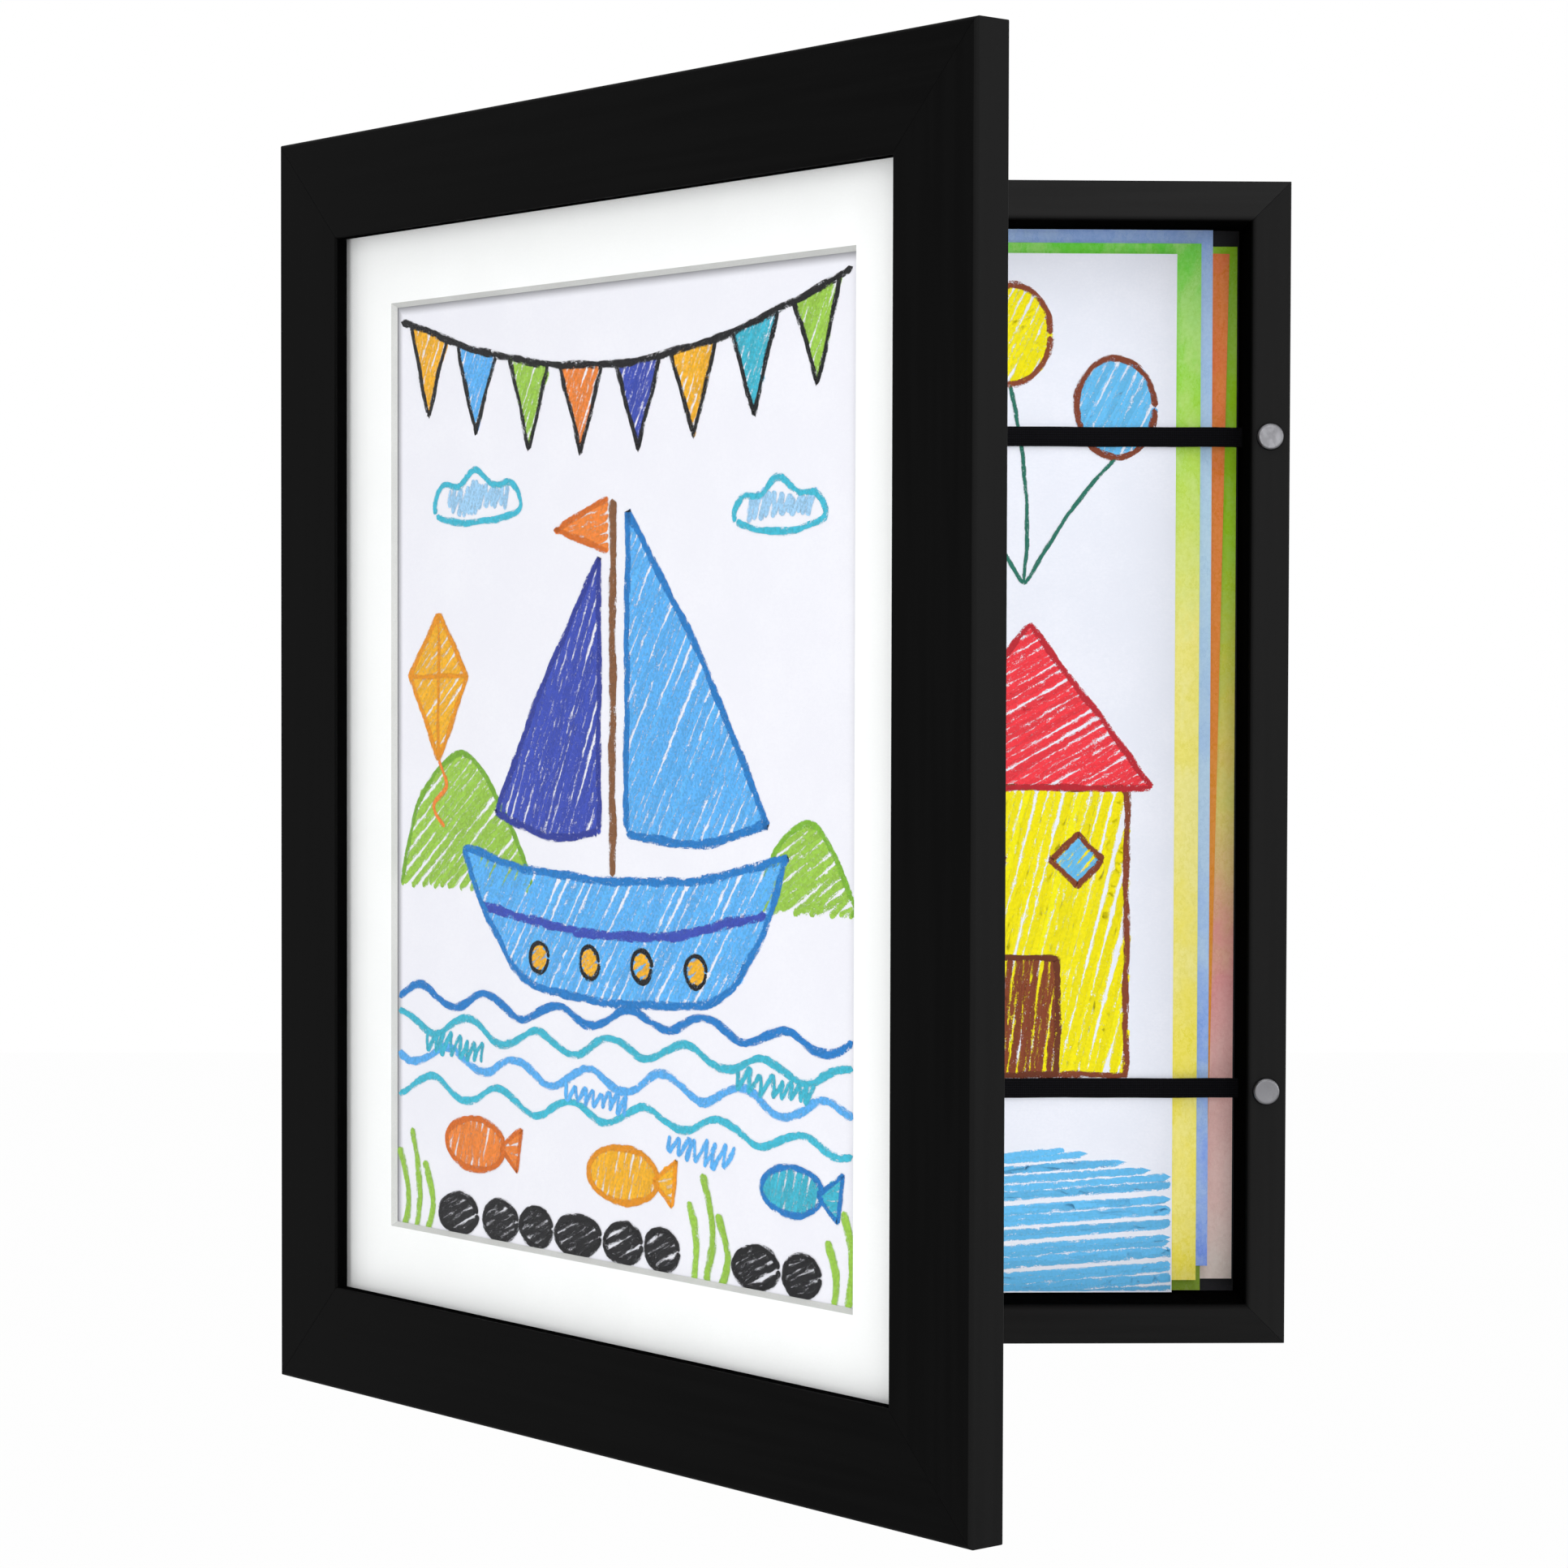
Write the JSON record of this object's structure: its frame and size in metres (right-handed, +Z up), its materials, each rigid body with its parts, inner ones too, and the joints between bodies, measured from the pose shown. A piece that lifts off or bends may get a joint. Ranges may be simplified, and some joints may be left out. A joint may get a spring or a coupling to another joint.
{
  "type": "childrens art frame",
  "caption": "Front-opening picture frame for children's drawings: a glazed, matted door hinged on a shallow wall box that stores more sheets behind elastic straps.",
  "frame": {"origin": "middle of the bottom wall's back edge, on the plane that bears on the room's wall", "axes": "+X to the viewer's right, +Y into the room's wall, +Z up"},
  "size_m": [0.3019, 0.2753, 0.3663],
  "materials": {
    "black_wood": "satin black lacquer on a wooden moulding",
    "black_panel": "matt black hardboard",
    "paper_white": "matt drawing paper",
    "paper_yellow": "matt painted paper",
    "paper_olive": "matt painted paper",
    "paper_blue": "matt painted paper",
    "paper_orange": "matt painted paper",
    "paper_brown": "matt painted paper",
    "black_elastic": "woven flat elastic",
    "nickel": "satin nickel plate",
    "zinc_steel": "zinc-plated steel",
    "clear_glass": "clear sheet glass",
    "mat_white": "matt white mat board with a bevelled window",
    "paper_picture": "matt drawing paper",
    "backing": "grey-brown backing board"
  },
  "bodies": {
    "box": {"wall_left": "black_wood", "wall_right": "black_wood", "wall_top": "black_wood", "wall_bottom": "black_wood", "back_panel": "black_panel", "stored_sheet_1": "paper_white", "stored_sheet_2": "paper_yellow", "stored_sheet_3": "paper_blue", "stored_sheet_4": "paper_olive", "stored_sheet_5": "paper_orange", "stored_sheet_6": "paper_brown", "strap_upper": "black_elastic", "strap_lower": "black_elastic", "magnet_upper": "nickel", "magnet_lower": "nickel", "hanger_portrait": "zinc_steel", "hanger_landscape": "zinc_steel", "hanger_nail_portrait_1": "zinc_steel", "hanger_nail_portrait_2": "zinc_steel", "hanger_nail_landscape_1": "zinc_steel", "hanger_nail_landscape_2": "zinc_steel", "hinge_leaf_box_upper": "zinc_steel", "hinge_leaf_box_lower": "zinc_steel", "hinge_pin_upper": "zinc_steel", "hinge_pin_lower": "zinc_steel", "hinge_screw_box_upper_1": "zinc_steel", "hinge_screw_box_upper_2": "zinc_steel", "hinge_screw_box_lower_1": "zinc_steel", "hinge_screw_box_lower_2": "zinc_steel"},
    "door": {"stile_hinge": "black_wood", "stile_free": "black_wood", "rail_top": "black_wood", "rail_bottom": "black_wood", "glass_pane": "clear_glass", "mat_board": "mat_white", "displayed_sheet": "paper_picture", "backing_board": "backing", "strike_disc_upper": "nickel", "strike_disc_lower": "nickel", "hinge_leaf_door_upper": "zinc_steel", "hinge_leaf_door_lower": "zinc_steel", "hinge_screw_door_upper_1": "zinc_steel", "hinge_screw_door_upper_2": "zinc_steel", "hinge_screw_door_lower_1": "zinc_steel", "hinge_screw_door_lower_2": "zinc_steel", "button_screw_hinge_upper": "zinc_steel", "button_screw_hinge_lower": "zinc_steel", "button_screw_free_upper": "zinc_steel", "button_screw_free_lower": "zinc_steel"},
    "button_hinge_upper": {"turn_button_hinge_upper": "zinc_steel"},
    "button_hinge_lower": {"turn_button_hinge_lower": "zinc_steel"},
    "button_free_upper": {"turn_button_free_upper": "zinc_steel"},
    "button_free_lower": {"turn_button_free_lower": "zinc_steel"}
  },
  "joints": [
    {"name": "door_swing", "type": "hinge", "parent": "box", "child": "door", "pos_m": [-0.146, -0.0353, 0.17165], "axis": [0, 0, -1], "range_deg": [-51.5, 68.5]},
    {"name": "button_turn_hinge_upper", "type": "hinge", "parent": "door", "child": "button_hinge_upper", "pos_m": [-0.13724, -0.0484, 0.23165], "axis": [0.7826, 0.6225, 0], "range_deg": [-90, 90]},
    {"name": "button_turn_hinge_lower", "type": "hinge", "parent": "door", "child": "button_hinge_lower", "pos_m": [-0.13724, -0.0484, 0.11165], "axis": [0.7826, 0.6225, 0], "range_deg": [-90, 90]},
    {"name": "button_turn_free_upper", "type": "hinge", "parent": "door", "child": "button_free_upper", "pos_m": [0.02498, -0.25234, 0.23165], "axis": [0.7826, 0.6225, 0], "range_deg": [-90, 90]},
    {"name": "button_turn_free_lower", "type": "hinge", "parent": "door", "child": "button_free_lower", "pos_m": [0.02498, -0.25234, 0.11165], "axis": [0.7826, 0.6225, 0], "range_deg": [-90, 90]}
  ]
}
